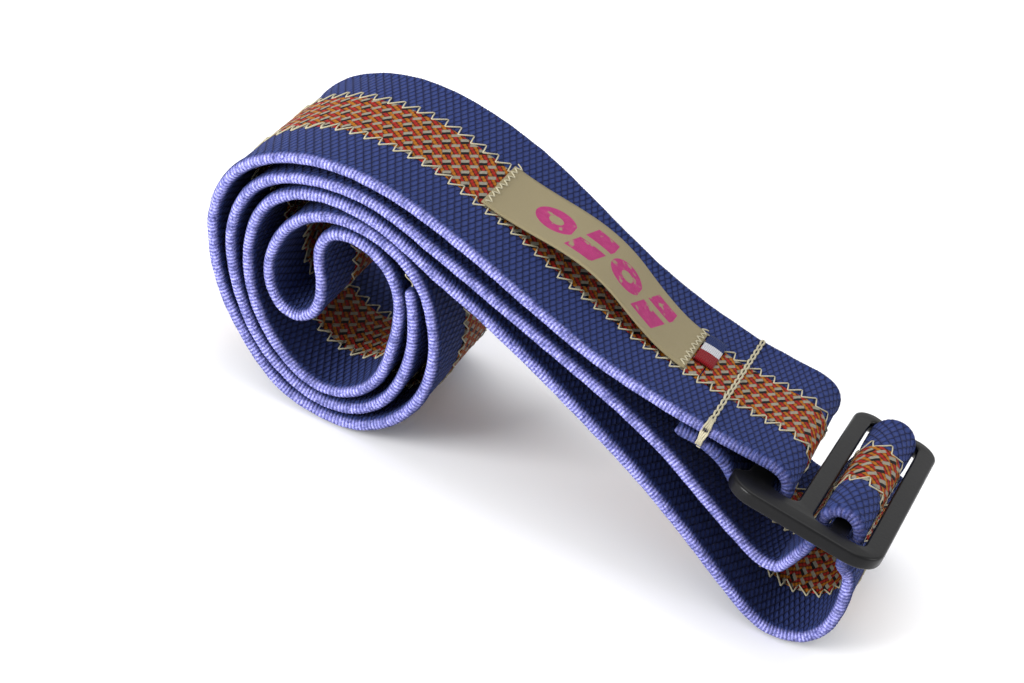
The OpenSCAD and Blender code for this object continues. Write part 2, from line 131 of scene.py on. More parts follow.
def on_buckle(u, v, n):
    return ARM + U_AXIS * u + V_AXIS * v + N_AXIS * n


def buckle_point(u, n):
    return list(on_buckle(u, BRIDGE_NEAR, n)) + [LEAN, SWING]


def flat(points):
    return [[p[0], 0, p[1], 0, 0] for p in points]


BRIDGE = ([buckle_point(BRIDGE_MID + BRIDGE_R, n) for n in (-4.8, -3, -1.2)]
          + [buckle_point(BRIDGE_MID + BRIDGE_R * math.cos(math.radians(a)),
                          BRIDGE_Z + BRIDGE_R * math.sin(math.radians(a)))
             for a in range(0, 181, 20)]
          + [buckle_point(BRIDGE_MID - BRIDGE_R, n) for n in (-1.2, -3, -4.8)])
# The whole belt, in the webbing's own order from the sewn loop to the free end.
ROUTE = TOP + flat(COIL) + LOWER + BRIDGE + [[76.6, 0, 12.5, -6, 2.4]] + UPPER + flat(TAIL)
ROUTE = np.array(ROUTE, float)


def spline(p, step):
    """Points of a Catmull-Rom curve through p, step mm apart along it."""
    t = np.linspace(0, 1, 24, endpoint=False)[:, None]
    out = []
    for i in range(1, len(p) - 2):
        a, b, c, d = p[i - 1], p[i], p[i + 1], p[i + 2]
        out.append(0.5 * (2 * b + (c - a) * t + (2 * a - 5 * b + 4 * c - d) * t ** 2
                          + (3 * b - a - 3 * c + d) * t ** 3))
    fine = np.concatenate(out + [p[-2:-1]])
    s = np.concatenate([[0], np.cumsum(np.linalg.norm(np.diff(fine[:, :3], axis=0), axis=1))])
    at = np.linspace(0, s[-1], int(round(s[-1] / step)) + 1)
    return np.stack([np.interp(at, s, fine[:, k]) for k in range(5)], 1), at


STEP = 0.145
BELT, ARC = spline(ROUTE, STEP)
lean, swing = np.radians(BELT[:, 3]), np.radians(BELT[:, 4])
W_DIR = np.stack([np.sin(swing), np.cos(swing) * np.cos(lean), np.sin(lean)], 1)
W_DIR /= np.linalg.norm(W_DIR, axis=1)[:, None]
T_DIR = np.gradient(BELT[:, :3], axis=0)
SMOOTHING = np.ones(5) / 5
T_DIR = np.stack([np.convolve(np.pad(T_DIR[:, i], 2, "edge"), SMOOTHING, "valid") for i in range(3)], 1)
T_DIR /= np.linalg.norm(T_DIR, axis=1)[:, None]
F_DIR = np.cross(W_DIR, T_DIR)
F_DIR /= np.linalg.norm(F_DIR, axis=1)[:, None]
MIDDLE = BELT[:, :3] + HALF_W * W_DIR


def arc_of(x, z):
    """Distance along the belt of the sample nearest to a point in the side view."""
    return float(ARC[np.argmin((BELT[:, 0] - x) ** 2 + (BELT[:, 2] - z) ** 2)])


def at_arc(s):
    """Middle, width, face and travel directions at distances s along the belt."""
    return [np.stack([np.interp(s, ARC, a[:, i]) for i in range(3)], -1)
            for a in (MIDDLE, W_DIR, F_DIR, T_DIR)]


def place(s, v, n):
    """Points at distance s along the belt, v across it and n above its middle, in metres."""
    m, w, f, _ = at_arc(s)
    return (m + w * np.asarray(v)[..., None] + f * np.asarray(n)[..., None] + SHIFT) * MM


# Where the belt changes hands between the bodies, in mm along it
S_COIL = arc_of(9, 40.5)
S_LOWER = arc_of(20, 29.7)
S_OUTER = arc_of(70.5, 4.1)
S_IN_OUT = arc_of(*on_buckle(16.55, -2.2, -3.4)[[0, 2]])
S_IN_IN = arc_of(*on_buckle(10.85, -2.2, -3.4)[[0, 2]])
S_INNER = arc_of(70.5, 12.5)
S_TAIL = arc_of(20, 33.3)
S_END = float(ARC[-1])


# ---- Materials ----
class Nodes:
    """A small helper to write a node tree."""

    def __init__(self, name, roughness=0.8):
        self.mat = bpy.data.materials.new(name)
        self.mat.use_nodes = True
        self.tree = self.mat.node_tree
        self.bsdf = self.tree.nodes["Principled BSDF"]
        self.bsdf.inputs["Roughness"].default_value = roughness

    def add(self, kind, **settings):
        node = self.tree.nodes.new(kind)
        for key, value in settings.items():
            setattr(node, key, value)
        return node

    def put(self, target, source):
        if hasattr(source, "is_output"):
            self.tree.links.new(source, target)
        else:
            target.default_value = source

    def math(self, op, a, b=0.0):
        node = self.add("ShaderNodeMath", operation=op)
        for i, x in enumerate((a, b)):
            self.put(node.inputs[i], x)
        return node.outputs[0]

    def mix(self, factor, a, b):
        node = self.add("ShaderNodeMix", data_type="RGBA")
        self.put(node.inputs[0], factor)
        self.put(node.inputs[6], a)
        self.put(node.inputs[7], b)
        return node.outputs[2]

    def ramp(self, value, lo, hi):
        node = self.add("ShaderNodeMapRange", interpolation_type="SMOOTHSTEP")
        self.put(node.inputs[0], value)
        node.inputs[1].default_value = lo
        node.inputs[2].default_value = hi
        return node.outputs[0]

    def uv(self):
        """UV in millimetres: along the belt and across it."""
        node = self.add("ShaderNodeSeparateXYZ")
        self.put(node.inputs[0], self.add("ShaderNodeUVMap", uv_map="UVMap").outputs[0])
        return (self.math("MULTIPLY", node.outputs[0], 1000.0),
                self.math("MULTIPLY", node.outputs[1], 1000.0))

    def noise(self, scale, detail=2.0):
        node = self.add("ShaderNodeTexNoise")
        node.inputs["Scale"].default_value = scale
        node.inputs["Detail"].default_value = detail
        self.put(node.inputs["Vector"], self.add("ShaderNodeTexCoord").outputs["Object"])
        return node.outputs["Fac"]

    def bump(self, height, distance):
        node = self.add("ShaderNodeBump")
        node.inputs["Strength"].default_value = 1.0
        node.inputs["Distance"].default_value = distance
        self.put(node.inputs["Height"], height)
        self.put(self.bsdf.inputs["Normal"], node.outputs[0])

    def colour(self, source):
        self.put(self.bsdf.inputs["Base Color"], source)

    def sheen(self, weight, roughness=0.5, tint=(1, 1, 1, 1)):
        self.bsdf.inputs["Sheen Weight"].default_value = weight
        self.bsdf.inputs["Sheen Roughness"].default_value = roughness
        self.bsdf.inputs["Sheen Tint"].default_value = tint


def rgb(r, g, b):
    def lin(c):
        c /= 255
        return c / 12.92 if c < 0.04045 else ((c + 0.055) / 1.055) ** 2.4
    return (lin(r), lin(g), lin(b), 1)


FACE_STEP = 0.575    # spacing of the mesh across the belt's face, mm
END_ROUND = 1.1      # length over which a free end of the webbing rounds off, mm
RIB = 0.58           # pitch of the ribs on the rolled edges, mm
CHEVRON = 2.2        # how far the ribs lean back from the rim, radians of pitch per mm


def webbing_material():
    m = Nodes("webbing_weave", 0.88)
    s, v = m.uv()
    # a brick weave: short slanted yarns, laid in columns that lean across the belt
    column = m.math("ADD", m.math("MULTIPLY", s, -0.753), m.math("MULTIPLY", v, 0.337))
    fx = m.math("FLOORED_MODULO", column, 1.0)
    y = m.math("ADD", m.math("MULTIPLY", s, -0.746), m.math("MULTIPLY", v, -0.464))
    step = m.math("ADD", m.math("MULTIPLY", m.math("FLOOR", column), 0.5), m.math("MULTIPLY", fx, 0.3))
    y = m.math("ADD", y, step)
    fy = m.math("FLOORED_MODULO", y, 1.0)
    hx = m.math("SINE", m.math("MULTIPLY", fx, math.pi))
    hy = m.math("SINE", m.math("MULTIPLY", fy, math.pi))
    height = m.math("POWER", m.math("MULTIPLY", hx, hy), 0.5)
    ply = m.math("SINE", m.math("MULTIPLY", m.math("ADD", s, m.math("MULTIPLY", v, 0.6)), 2 * math.pi / 0.33))
    height = m.math("ADD", height, m.math("MULTIPLY", ply, 0.05))
    edge = m.ramp(m.math("ABSOLUTE", v), 17.9, 18.95)
    roll = m.ramp(m.math("ABSOLUTE", v), 16.9, 18.2)
    lean = m.math("MULTIPLY", m.math("SUBTRACT", HALF_W, m.math("ABSOLUTE", v)), CHEVRON)
    rib = m.math("SINE", m.math("ADD", m.math("MULTIPLY", s, 2 * math.pi / RIB), lean))
    rib = m.math("ADD", m.math("MULTIPLY", rib, 0.5), 0.5)
    fluff = m.noise(2400, 3)
    fine = m.noise(5200, 2)
    patch = m.noise(110, 2)
    # painted shade: the low gaps between the weave's yarns are coloured a darker blue
    blue = m.mix(m.ramp(height, 0.05, 0.95), rgb(11, 14, 43), rgb(44, 57, 107))
    blue = m.mix(m.math("MULTIPLY", patch, 0.35), blue, rgb(31, 40, 84))
    blue = m.mix(m.math("MULTIPLY", m.ramp(fine, 0.52, 0.75), 0.25), blue, rgb(70, 83, 138))
    shade = m.math("MULTIPLY", m.math("ADD", 0.25, m.math("MULTIPLY", rib, 0.75)), m.ramp(fluff, 0.2, 0.62))
    lilac = m.mix(shade, rgb(44, 46, 118), rgb(172, 172, 241))
    lilac = m.mix(m.math("MULTIPLY", m.ramp(fine, 0.5, 0.7), 0.4), lilac, rgb(205, 205, 254))
    worn = m.ramp(m.noise(800, 3), 0.32, 0.58)
    # painted shade: the rims are drawn bluer at the sewn loop and over the buckle's bar, where they lie in
    # shade
    near_bar = m.math("ABSOLUTE", m.math("SUBTRACT", s, (S_IN_OUT + S_IN_IN) / 2))
    rim_painted_light = m.math("MULTIPLY", m.ramp(s, 30.0, 48.0), m.ramp(near_bar, 8.0, 15.0))
    edge = m.math("MULTIPLY", edge, m.math("ADD", 0.25, m.math("MULTIPLY", rim_painted_light, 0.75)))
    amount = m.math("MULTIPLY", edge, m.math("ADD", 0.5, m.math("MULTIPLY", worn, 0.5)))
    m.colour(m.mix(amount, blue, lilac))
    face = m.math("MULTIPLY", m.math("SUBTRACT", 1.0, roll), height)
    ribs = m.math("MULTIPLY", roll, m.math("ADD", m.math("MULTIPLY", rib, 0.5), m.math("MULTIPLY", fluff, 0.8)))
    m.bump(m.math("ADD", face, ribs), 0.0003)
    m.bsdf.inputs["Specular IOR Level"].default_value = 0.1
    m.sheen(0.05, 0.4, rgb(170, 176, 236))
    return m.mat


def ribbon_material():
    m = Nodes("ribbon_pattern", 0.75)
    s, v = m.uv()

    def along(a, b):
        return m.math("ADD", m.math("MULTIPLY", s, a), m.math("MULTIPLY", v, b))

    # the flecks lie on a lattice 1.6 mm along the ribbon by 2.9 mm across it
    ci, cj = along(-0.644, -0.0905), along(0.0596, 0.351)
    fi = m.math("SUBTRACT", m.math("FLOORED_MODULO", ci, 1.0), 0.5)
    fj = m.math("SUBTRACT", m.math("FLOORED_MODULO", cj, 1.0), 0.5)
    kind = m.math("FLOORED_MODULO", m.math("SUBTRACT", m.math("FLOOR", ci), m.math("FLOOR", cj)), 2.0)
    p = m.math("ABSOLUTE", m.math("ADD", fi, fj))
    r = m.math("SUBTRACT", fi, fj)
    short = m.math("SUBTRACT", 1.0, m.ramp(p, 0.4, 0.54))
    grey = m.math("MULTIPLY", short, m.math("MULTIPLY", m.ramp(r, -0.6, -0.48), m.math("LESS_THAN", r, 0.0)))
    band = m.math("MULTIPLY", m.math("LESS_THAN", r, 0.46), m.math("GREATER_THAN", r, 0.0))
    black = m.math("MULTIPLY", short, band)
    black = m.math("MULTIPLY", black, kind)
    # red and ochre strands run under them on the slant
    q = m.math("DIVIDE", m.math("ADD", ci, m.math("MULTIPLY", cj, 2.0)), 1.5)
    ochre = m.math("GREATER_THAN", m.math("FLOORED_MODULO", q, 1.0), 0.5)
    strand = m.math("POWER", m.math("ABSOLUTE", m.math("SINE", m.math("MULTIPLY", q, 2 * math.pi))), 0.5)
    ply = m.math("SINE", m.math("MULTIPLY", along(1.0, 0.25), 2 * math.pi / 0.62))
    strand = m.math("MULTIPLY", strand, m.math("ADD", 0.8, m.math("MULTIPLY", ply, 0.2)))
    fibre = m.noise(3000, 2)
    col = m.mix(ochre, rgb(147, 33, 25), rgb(158, 94, 20))
    # painted shade: the low ground between the strands is drawn near black; the fibre noise adds the yarn's own
    # uneven tone
    lit = m.math("MULTIPLY", m.ramp(strand, 0.05, 0.85),
                 m.math("ADD", 0.72, m.math("MULTIPLY", fibre, 0.3)))
    col = m.mix(lit, rgb(26, 10, 8), col)
    col = m.mix(grey, col, m.mix(fibre, rgb(106, 102, 90), rgb(143, 138, 125)))
    col = m.mix(black, col, rgb(16, 15, 17))
    m.colour(col)
    fleck = m.math("MAXIMUM", grey, black)
    m.bump(m.math("MAXIMUM", m.math("MULTIPLY", strand, 0.7), fleck), 0.00022)
    m.bsdf.inputs["Specular IOR Level"].default_value = 0.1
    return m.mat


def thread_material():
    m = Nodes("cream_thread", 0.6)
    ply = m.noise(4200, 2)
    m.colour(m.mix(ply, rgb(131, 123, 98), rgb(183, 176, 150)))
    m.bump(ply, 0.00005)
    m.sheen(0.05)
    return m.mat


def label_material():
    m = Nodes("label_weave", 0.7)
    s, v = m.uv()
    weft = m.math("SINE", m.math("MULTIPLY", s, 2 * math.pi / 0.24))
    warp = m.math("SINE", m.math("MULTIPLY", v, 2 * math.pi / 0.2))
    weave = m.math("MULTIPLY", weft, warp)
    base = m.mix(m.math("ADD", 0.5, m.math("MULTIPLY", weave, 0.35)), rgb(119, 109, 81), rgb(142, 131, 101))
    # a row of plain rings and split slanted bars, worn like an old print
    unit = m.math("DIVIDE", m.math("SUBTRACT", s, 5.6), 6.9)
    fx = m.math("SUBTRACT", m.math("MULTIPLY", m.math("FLOORED_MODULO", unit, 1.0), 6.9), 3.1)
    odd = m.math("FLOORED_MODULO", m.math("FLOOR", unit), 2.0)
    bar = m.math("LESS_THAN", m.math("ABSOLUTE", m.math("ADD", fx, m.math("MULTIPLY", v, 0.28))), 2.45)
    gap = m.math("GREATER_THAN", m.math("ABSOLUTE", m.math("SUBTRACT", v, 0.4)), 0.75)
    ring = m.math("SQRT", m.math("ADD", m.math("MULTIPLY", fx, fx), m.math("MULTIPLY", v, v)))
    dot = m.math("MULTIPLY", m.math("LESS_THAN", ring, 3.4), m.math("GREATER_THAN", ring, 1.2))
    shape = m.math("ADD", m.math("MULTIPLY", odd, dot),
                   m.math("MULTIPLY", m.math("SUBTRACT", 1.0, odd), m.math("MULTIPLY", bar, gap)))
    inside = m.math("MULTIPLY", m.math("LESS_THAN", m.math("ABSOLUTE", v), 5.0),
                    m.math("MULTIPLY", m.math("GREATER_THAN", unit, 0.0), m.math("LESS_THAN", unit, 4.0)))
    worn = m.ramp(m.noise(620, 4), 0.32, 0.42)
    pink = m.mix(m.noise(900, 2), rgb(135, 22, 83), rgb(166, 41, 106))
    m.colour(m.mix(m.math("MULTIPLY", m.math("MULTIPLY", shape, inside), worn), base, pink))
    m.bsdf.inputs["Specular IOR Level"].default_value = 0.2
    m.bump(weave, 0.00003)
    m.sheen(0.04)
    return m.mat


def tag_material():
    m = Nodes("tag_stripes", 0.65)
    s, v = m.uv()
    rib = m.math("SINE", m.math("MULTIPLY", s, 2 * math.pi / 0.3))
    white = m.math("GREATER_THAN", v, 1.9)
    blue = m.math("GREATER_THAN", v, 4.6)
    col = m.mix(white, rgb(116, 6, 16), rgb(182, 182, 188))
    col = m.mix(blue, col, rgb(14, 34, 84))
    m.colour(m.mix(m.math("MULTIPLY", m.math("ADD", rib, 1.0), 0.12), col, rgb(20, 16, 24)))
    m.bsdf.inputs["Specular IOR Level"].default_value = 0.1
    m.bump(rib, 0.00004)
    m.sheen(0.04)
    return m.mat


def buckle_material():
    m = Nodes("black_enamel", 0.34)
    grain = m.noise(1800, 3)
    smudge = m.noise(140, 3)
    m.colour(m.mix(smudge, rgb(8, 8, 9), rgb(13, 13, 15)))
    rough = m.add("ShaderNodeMapRange")
    m.put(rough.inputs[0], smudge)
    rough.inputs[3].default_value = 0.27
    rough.inputs[4].default_value = 0.42
    m.put(m.bsdf.inputs["Roughness"], rough.outputs[0])
    m.bsdf.inputs["Specular IOR Level"].default_value = 0.16
    m.bsdf.inputs["Coat Weight"].default_value = 0.04
    m.bsdf.inputs["Coat Roughness"].default_value = 0.15
    m.bump(grain, 0.000015)
    return m.mat


MAT = {"webbing": webbing_material(), "ribbon": ribbon_material(), "thread": thread_material(),
       "label": label_material(), "tag": tag_material(), "plate": buckle_material()}


# ---- Meshes ----
def mesh_object(name, verts, faces, slot, uv=None):
    mesh = bpy.data.meshes.new(name)
    mesh.from_pydata([tuple(p) for p in np.asarray(verts, float)], [], faces)
    # end caps stay flat, so that the shading runs on from one length to the next
    mesh.polygons.foreach_set("use_smooth", [len(f) < 8 for f in faces])
    if uv is not None:
        layer = mesh.uv_layers.new(name="UVMap")
        index = np.empty(len(mesh.loops), np.int32)
        mesh.loops.foreach_get("vertex_index", index)
        layer.data.foreach_set("uv", np.asarray(uv, np.float32)[index].ravel())
    mesh.materials.append(MAT[slot])
    mesh.update()
    obj = bpy.data.objects.new(name, mesh)
    scene.collection.objects.link(obj)
    return obj


def tube_faces(rings, m):
    """Faces of a tube of rings with m points each, closed by one flat cap at each end."""
    faces = []
    for i in range(rings - 1):
        a = i * m
        for j in range(m):
            k = (j + 1) % m
            faces.append((a + j, a + k, a + m + k, a + m + j))
    faces.append(tuple(range(m - 1, -1, -1)))
    faces.append(tuple((rings - 1) * m + j for j in range(m)))
    return faces


def strip_grid(s, v):
    """Places along and across a flat strip: each ring goes over its top and back under it."""
    around = np.concatenate([v, v[::-1]])
    return np.repeat(s, len(around)).reshape(-1, len(around)), np.tile(around, (len(s), 1))


def strip_heights(s, top, under):
    """Heights to go with strip_grid."""
    return np.tile(np.concatenate([top, under]), (len(s), 1))


def webbing_section():
    """Half the webbing's rounded section, as (v, n) from the middle out round one edge and back."""
    first, last = int(6.9 / FACE_STEP) + 1, int(16.9 / FACE_STEP) + 1
    v_face = [0, 3, 6.2] + [FACE_STEP * i for i in range(first, last)]
    pts = [(v, 0.62 if v < 6.9 else 0.84) for v in v_face]
    r_n, r_v = 1.06, 1.5
    arc = [(ROLL_V + r_v * math.cos(math.radians(a)), r_n * math.sin(math.radians(a)))
           for a in (98, 82, 64, 46, 30, 15, 0, -15, -30, -46, -64, -82, -98)]
    return pts + arc + [(v, -n) for v, n in reversed(pts)]


HALF = webbing_section()
SECTION = np.array(HALF + [(-v, n) for v, n in reversed(HALF)][1:-1])


def taper(s, lo, hi, end_lo, end_hi):
    """Thickness factor that rounds off the free ends."""
    f = np.ones_like(s)
    for rounded, depth in ((end_lo, s - lo), (end_hi, hi - s)):
        if rounded:
            x = np.clip(depth / END_ROUND, 0, 1)
            f = np.minimum(f, np.sqrt(x * (2 - x)))
    return np.maximum(f, 0.08)


def webbing_piece(name, lo, hi, nodes, end_lo=False, end_hi=False):
    s = np.arange(lo, hi + STEP * 0.5, STEP)
    s[-1] = hi
    v, n = SECTION[:, 0], SECTION[:, 1]
    m = len(v)
    ss = np.repeat(s, m).reshape(-1, m)
    vv = np.tile(v, (len(s), 1))
    nn = np.tile(n, (len(s), 1))
    edge = np.clip((np.abs(vv) - 16.6) / 1.4, 0, 1)
    edge = edge * edge * (3 - 2 * edge)
    # rolled ribs round each edge, a little uneven from one to the next
    turn = np.arctan2(nn, np.abs(vv) - ROLL_V)
    rib = np.sin(2 * math.pi * ss / RIB + CHEVRON * (HALF_W - np.abs(vv)))
    wobble = 0.55 + 0.45 * np.sin(ss * 1.7 + 2.1 * np.sin(ss * 0.37) + vv * 0.2)
    lump = np.sin(ss * 0.9 + 1.3 * np.sin(ss * 0.23 + vv))
    bulge = edge * (0.036 * rib * wobble + 0.016 * np.sin(5 * turn + ss * 1.9) + 0.02 * lump - 0.05)
    radius = np.hypot(nn, np.abs(vv) - ROLL_V) + 1e-6
    out = (np.abs(vv) - ROLL_V) / radius
    nn = nn + nn / radius * bulge * (np.abs(vv) > 16.9)
    vv = vv + np.sign(vv) * out * bulge * (np.abs(vv) > 17.4)
    nn = nn * taper(ss, lo, hi, end_lo, end_hi)
    verts = place(ss, vv, nn).reshape(-1, 3)
    faces = tube_faces(len(s), m)
    uv = np.stack([ss * MM, vv * MM], -1).reshape(-1, 2)
    obj = mesh_object(name, verts, [tuple(reversed(f)) for f in faces], "webbing", uv)
    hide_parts(*nodes)
    return obj


def ribbon_piece(name, lo, hi, face, nodes, thick=0.30, base=0.60):
    s = np.arange(lo, hi + 0.3, 0.46)
    s[-1] = hi
    v = np.linspace(-6.7, 6.7, 25)
    n_top = base + thick - 0.10 * (np.abs(v) > 6.6)
    ss, vv = strip_grid(s, v)
    lift = 0.05 * np.abs(np.sin(math.pi * (vv + 6.7) / 1.117)) * (0.7 + 0.3 * np.sin(2 * math.pi * ss / 0.92))
    nn = strip_heights(s, n_top, np.full(len(v), base - 0.03))
    nn[:, :len(v)] += lift[:, :len(v)]
    verts = place(ss, vv, nn * face).reshape(-1, 3)
    faces = tube_faces(len(s), 2 * len(v))
    if face > 0:
        faces = [tuple(reversed(f)) for f in faces]
    uv = np.stack([ss * MM, vv * MM], -1).reshape(-1, 2)
    obj = mesh_object(name, verts, faces, "ribbon", uv)
    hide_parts(*nodes)
    return obj


def tube(points, radius, sides=6):
    """Vertices and faces of a tube along points, all in metres."""
    p = np.asarray(points, float)
    t = np.gradient(p, axis=0)
    t /= np.linalg.norm(t, axis=1)[:, None] + 1e-12
    ref = np.array([0.31, 0.52, 0.79])
    a = np.cross(t, ref)
    a /= np.linalg.norm(a, axis=1)[:, None]
    b = np.cross(t, a)
    ang = np.arange(sides) * 2 * math.pi / sides
    verts = (p[:, None, :] + radius * (np.cos(ang)[None, :, None] * a[:, None, :]
                                       + np.sin(ang)[None, :, None] * b[:, None, :])).reshape(-1, 3)
    return verts, tube_faces(len(p), sides)


def join_tubes(name, tubes):
    """One thread-coloured piece from several tubes."""
    verts, faces, base = [], [], 0
    for v, f in tubes:
        verts.append(v)
        faces += [tuple(i + base for i in q) for q in f]
        base += len(v)
    return mesh_object(name, np.concatenate(verts), faces, "thread")


def zigzag_tubes(lo, hi, face):
    """Zigzag thread along both ribbon edges on one face."""
    out = []
    pitch = 2.4
    for side in (-1, 1):
        phase = 0.6 if side > 0 else 0.0
        first = math.ceil((lo - phase * pitch) / (pitch / 2)) - 2
        last = math.floor((hi - phase * pitch) / (pitch / 2)) + 2
        s_pts, v_pts, n_pts = [], [], []
        for k in range(first, last + 1):
            s0 = k * pitch / 2 + phase * pitch
            outer = k % 2 == 0
            jitter = 0.26 * math.sin(k * 12.9898 + face * 3.7 + side)
            # the thread leans over: one long leg and one steep leg to each point
            s0 += -0.7 * side if outer else 0.1 * side
            v0 = side * ((8.2 if outer else 5.9) + jitter)
            v1 = side * (5.9 if outer else 8.2)
            s_pts += [s0 - 0.03, s0 + 0.03, s0 + 0.2]
            v_pts += [v0, v0, v0 + (v1 - v0) * (0.1 if outer == (side > 0) else 0.5)]
            n_pts += [0.93, 0.93, 1.05]
        s_pts, v_pts, n_pts = (np.array(x) for x in (s_pts, v_pts, n_pts))
        # the thread is cut exactly where the length of webbing ends
        inner = s_pts[(s_pts > lo + 0.02) & (s_pts < hi - 0.02)]
        cut = np.concatenate([[lo], inner, [hi]])
        pts = place(cut, np.interp(cut, s_pts, v_pts), np.interp(cut, s_pts, n_pts) * face)
        out.append(tube(pts, 0.00013, 5))
    return out


def seam_piece(name, lo, hi, nodes):
    obj = join_tubes(name, zigzag_tubes(lo, hi, 1) + zigzag_tubes(lo, hi, -1))
    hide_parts(*nodes)
    return obj


# ---- Belt, cut only where a body takes over from another ----
A_RUN, B_RUN = row((21, 19, 29.3)), row((60, 19, 10.7))
UPPER_START, UPPER_END = row((21, 19, 33)), row((62, 19, 17.1))
OUT_A, OUT_B = row(on_buckle(13.7, 16.8, -15.6)), row(on_buckle(13.7, 16.8, -3.6))
IN_A, IN_B = row(on_buckle(13.7, 16.8, -9.5)), row(on_buckle(13.7, 16.8, -3.6))

pieces = [
    # name, from, to, nodes' endings, how it moves, rounded ends
    ("top", 0.0, S_COIL, "top_run", "belt", True, False),
    ("coil", S_COIL, S_LOWER, "coil", "belt", False, False),
    ("lower", S_LOWER, S_OUTER, "lower_run", ("belt", "straps", A_RUN, B_RUN), False, False),
    ("outer_bend", S_OUTER, S_IN_OUT, None, ("straps", "buckle", OUT_A, OUT_B), False, False),
    ("bridge", S_IN_OUT, S_IN_IN, "bridge", "buckle", False, False),
    ("inner_bend", S_IN_IN, S_INNER, None, ("straps", "buckle", IN_A, IN_B), False, False),
    ("upper", S_INNER, S_TAIL, "upper_run", ("belt", "straps", UPPER_START, UPPER_END), False, False),
    ("tail", S_TAIL, S_END, "tail", "belt", False, True),
]
S_SECOND = arc_of(53, 28.7)       # the ribbon's second piece ends here


def move(obj, how):
    if isinstance(how, str):
        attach(obj, how)
    else:
        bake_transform(obj)


for name, lo, hi, ending, how, end_lo, end_hi in pieces:
    extra = {"upper": ["upper_lead"]}.get(name, [])
    endings = ([ending] if ending else []) + extra
    move(webbing_piece("belt_" + name, lo, hi, ["webbing_" + e for e in endings], end_lo, end_hi), how)
    if name == "top":
        move(ribbon_piece("ribbon_face_loop", 0.5, S_SECOND - 0.1, 1, ["face_ribbon_loop"]), how)
        move(ribbon_piece("ribbon_face_top", S_SECOND + 0.1, hi, 1, ["face_ribbon_top_run"]), how)
    else:
        move(ribbon_piece("ribbon_face_" + name, lo, hi - (0.4 if end_hi else 0), 1,
                          ["face_ribbon_" + e for e in endings]), how)
    move(ribbon_piece("ribbon_back_" + name, lo + (0.5 if end_lo else 0), hi - (0.4 if end_hi else 0), -1,
                      ["back_ribbon_" + e for e in endings]), how)
    move(seam_piece("zigzag_" + name, lo, hi, ["seams_" + e for e in endings]), how)


# ---- Label: a woven strip bowed up from the strap ----
S_LABEL_A, S_LABEL_B = arc_of(50.5, 29.05), arc_of(12.2, 39.6)
LABEL_RISE = 3.3     # height of the bow above its ends, mm


def label_place(s, v, n):
    t = (s - S_LABEL_A) / (S_LABEL_B - S_LABEL_A)
    rise = 1.02 + LABEL_RISE * (1 - np.cos(2 * math.pi * t)) / 2
    return place(s, v + 0.5, rise + n)


s = np.linspace(S_LABEL_A, S_LABEL_B, 120)
v = np.linspace(-7.3, 7.3, 21)
ss, vv = strip_grid(s, v)
curl = 0.06 * (np.abs(vv) / 7.3) ** 4
nn = strip_heights(s, np.full(len(v), 0.35), np.zeros(len(v))) + curl
verts = label_place(ss, vv, nn).reshape(-1, 3)
faces = tube_faces(len(s), 2 * len(v))
uv = np.stack([(ss - S_LABEL_A) * MM, vv * MM], -1).reshape(-1, 2)
label = mesh_object("bowed_label", verts, [tuple(reversed(f)) for f in faces], "label", uv)
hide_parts("label")
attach(label, "belt")

# small stitches that hold its two ends
tubes = []
for end, (s0, direction) in enumerate(((S_LABEL_A, 1), (S_LABEL_B, -1))):
    for k in range(9):
        v0 = -6.6 + 1.65 * k
        a = s0 + direction * (0.25 + 0.1 * math.sin(k * 5.1 + end))
        b = s0 + direction * (1.15 + 0.15 * math.sin(k * 3.3 + 1))
        q = np.linspace(0, 1, 7)
        pts = label_place(a + (b - a) * q, v0 + 0.8 * q, 0.36 + 0.1 * np.sin(math.pi * q))
        tubes.append(tube(pts, 0.00013, 6))
        pts = label_place(b + (a - b) * q, v0 + 0.8 + 0.85 * q, 0.36 + 0.1 * np.sin(math.pi * q))
        tubes.append(tube(pts, 0.00013, 6))
stitches = join_tubes("label_end_stitches", tubes)
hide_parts("label_stitches")
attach(stitches, "belt")

# ---- Striped tag beside the label ----
s = np.linspace(arc_of(54, 28.6), arc_of(50.8, 29.0), 14)
v = np.linspace(-2, 8, 15)
ss, vv = strip_grid(s, v)
nn = 1.03 + strip_heights(s, np.full(len(v), 0.4), np.zeros(len(v)))
nn = nn + 0.12 * np.sin((ss - s[0]) / (s[-1] - s[0]) * math.pi)
faces = tube_faces(len(s), 2 * len(v))
tag = mesh_object("striped_side_tag", place(ss, vv, nn).reshape(-1, 3), [tuple(reversed(f)) for f in faces],
                  "tag", np.stack([ss * MM, vv * MM], -1).reshape(-1, 2))
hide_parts("striped_tag")
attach(tag, "belt")

# ---- Chain stitch across the belt that closes the loop ----
S_STITCH, S_UNDER = arc_of(58.3, 28.1), arc_of(58.3, 25.8)
tubes = []
for s0, base in ((S_STITCH, 1.06), (S_UNDER, 1.02)):
    v_line = np.arange(-17.6, 17.7, 2.2)
    for i in range(len(v_line) - 1):
        q = np.linspace(0, 1, 11)
        loop_v = v_line[i] + 2.6 * q
        swing_s = 0.3 * np.sin(math.pi * q)
        hump = base + 0.2 * np.sin(math.pi * q)
        # the ribbon and seams stand lower than the webbing's edge rolls
        for sign in (-1, 1):
            tubes.append(tube(place(s0 + sign * swing_s, np.clip(loop_v, -18.2, 18.2), hump), 0.00018, 6))
    q = np.linspace(0, 1, 12)
    for end in (-1, 1):
        tail = place(s0 + 0.25 * np.sin(q * 9), end * (17.6 + 0.9 * q), base - 0.5 * q ** 2)
        tubes.append(tube(tail, 0.0002, 6))
wrap_v = np.array([-16.6, -17.4, -18.3, -19.0, -19.35, -19.3, -19.0, -18.8])
wrap_n = np.array([1.15, 1.3, 1.1, 0.6, 0.0, -0.8, -1.6, -2.5])
